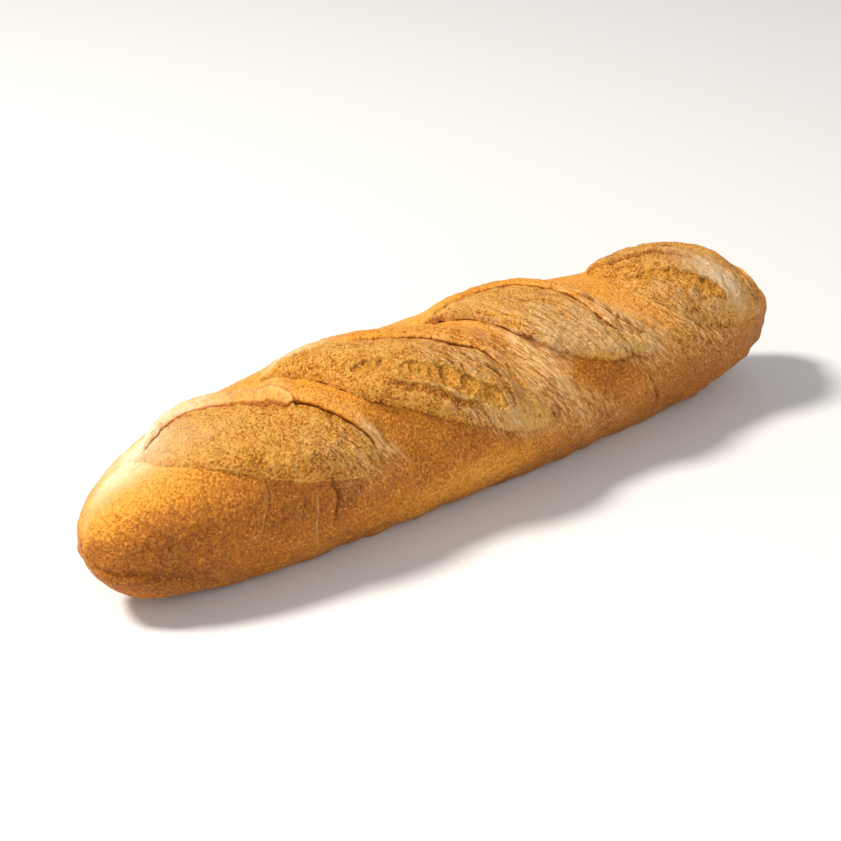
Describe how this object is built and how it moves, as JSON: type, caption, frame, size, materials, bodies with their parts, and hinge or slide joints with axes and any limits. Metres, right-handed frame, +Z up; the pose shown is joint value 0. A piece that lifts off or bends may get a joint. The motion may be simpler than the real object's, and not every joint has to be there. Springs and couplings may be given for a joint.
{
  "type": "baguette",
  "caption": "Short crusty baguette with slanting slashes opened along its top and a flat base it rests on.",
  "frame": {"origin": "middle of the loaf's box, on the plane of its flat base", "axes": "+X along the loaf from its near end to its far end, +Z up, the slashes lean towards -Y"},
  "size_m": [0.297, 0.0717, 0.0629],
  "materials": {
    "crust": "browned baked wheat crust, matt with a faint sheen, floury and fine-grained"
  },
  "bodies": {
    "root": {"baguette": "crust"}
  },
  "joints": []
}
